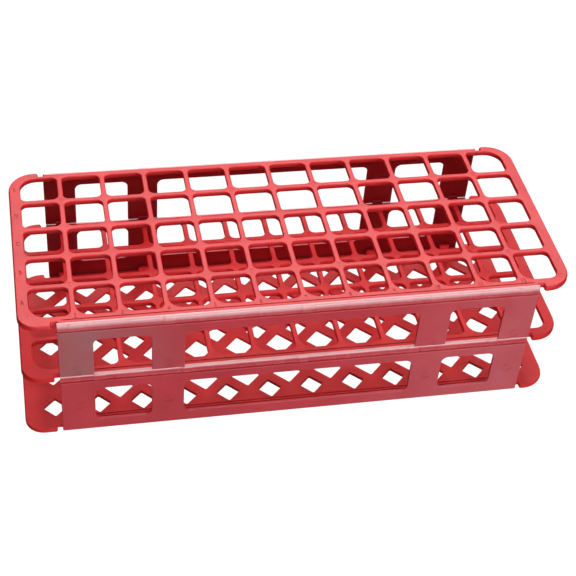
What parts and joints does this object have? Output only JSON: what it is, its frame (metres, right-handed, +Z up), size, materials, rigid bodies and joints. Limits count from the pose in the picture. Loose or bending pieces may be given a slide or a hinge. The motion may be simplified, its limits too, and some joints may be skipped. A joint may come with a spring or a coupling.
{
  "type": "test tube rack",
  "caption": "Three-tier plastic rack that holds round test tubes upright through two open grids over a pierced base plate, with panels that fold down on living hinges.",
  "frame": {"origin": "centre of the footprint, on the surface that the rack stands on", "axes": "+X along the twelve columns, +Y to the rear, +Z up; the numbered edge is the front"},
  "size_m": [0.245, 0.1046, 0.0655],
  "materials": {
    "shelf_plastic": "red polypropylene, satin moulded face",
    "panel_plastic": "thin crimson polypropylene, slightly translucent",
    "hinge_plastic": "stretched polypropylene web, glossy"
  },
  "bodies": {
    "bottom_tier": {"bottom_shelf": "shelf_plastic", "bottom_shelf_tabs": "shelf_plastic"},
    "middle_tier": {"middle_shelf_end_rims": "shelf_plastic", "middle_shelf_side_rims": "shelf_plastic", "middle_shelf_long_ribs": "shelf_plastic", "middle_shelf_cross_ribs": "shelf_plastic", "front_lower_hinge": "hinge_plastic", "rear_lower_hinge": "hinge_plastic"},
    "front_lower_flap": {"front_lower_panel": "panel_plastic"},
    "rear_lower_flap": {"rear_lower_panel": "panel_plastic"},
    "top_tier": {"top_shelf_end_rims": "shelf_plastic", "top_shelf_side_rims": "shelf_plastic", "top_shelf_long_ribs": "shelf_plastic", "top_shelf_cross_ribs": "shelf_plastic", "front_upper_hinge": "hinge_plastic", "rear_upper_hinge": "hinge_plastic"},
    "front_upper_flap": {"front_upper_panel": "panel_plastic"},
    "rear_upper_flap": {"rear_upper_panel": "panel_plastic"}
  },
  "joints": [
    {"name": "middle_tier_lift", "type": "slide", "parent": "bottom_tier", "child": "middle_tier", "axis": [0, 0, 1], "range_m": [0, 0.04]},
    {"name": "top_tier_lift", "type": "slide", "parent": "middle_tier", "child": "top_tier", "axis": [0, 0, 1], "range_m": [0, 0.04]},
    {"name": "front_lower_fold", "type": "hinge", "parent": "middle_tier", "child": "front_lower_flap", "pos_m": [0, -0.05175, 0.034], "axis": [-1, 0, 0], "range_deg": [0, 90], "deforming": ["front_lower_hinge"]},
    {"name": "rear_lower_fold", "type": "hinge", "parent": "middle_tier", "child": "rear_lower_flap", "pos_m": [0, 0.05175, 0.034], "axis": [1, 0, 0], "range_deg": [0, 90], "deforming": ["rear_lower_hinge"]},
    {"name": "front_upper_fold", "type": "hinge", "parent": "top_tier", "child": "front_upper_flap", "pos_m": [0, -0.05175, 0.065], "axis": [-1, 0, 0], "range_deg": [0, 90], "deforming": ["front_upper_hinge"]},
    {"name": "rear_upper_fold", "type": "hinge", "parent": "top_tier", "child": "rear_upper_flap", "pos_m": [0, 0.05175, 0.065], "axis": [1, 0, 0], "range_deg": [0, 90], "deforming": ["rear_upper_hinge"]}
  ]
}
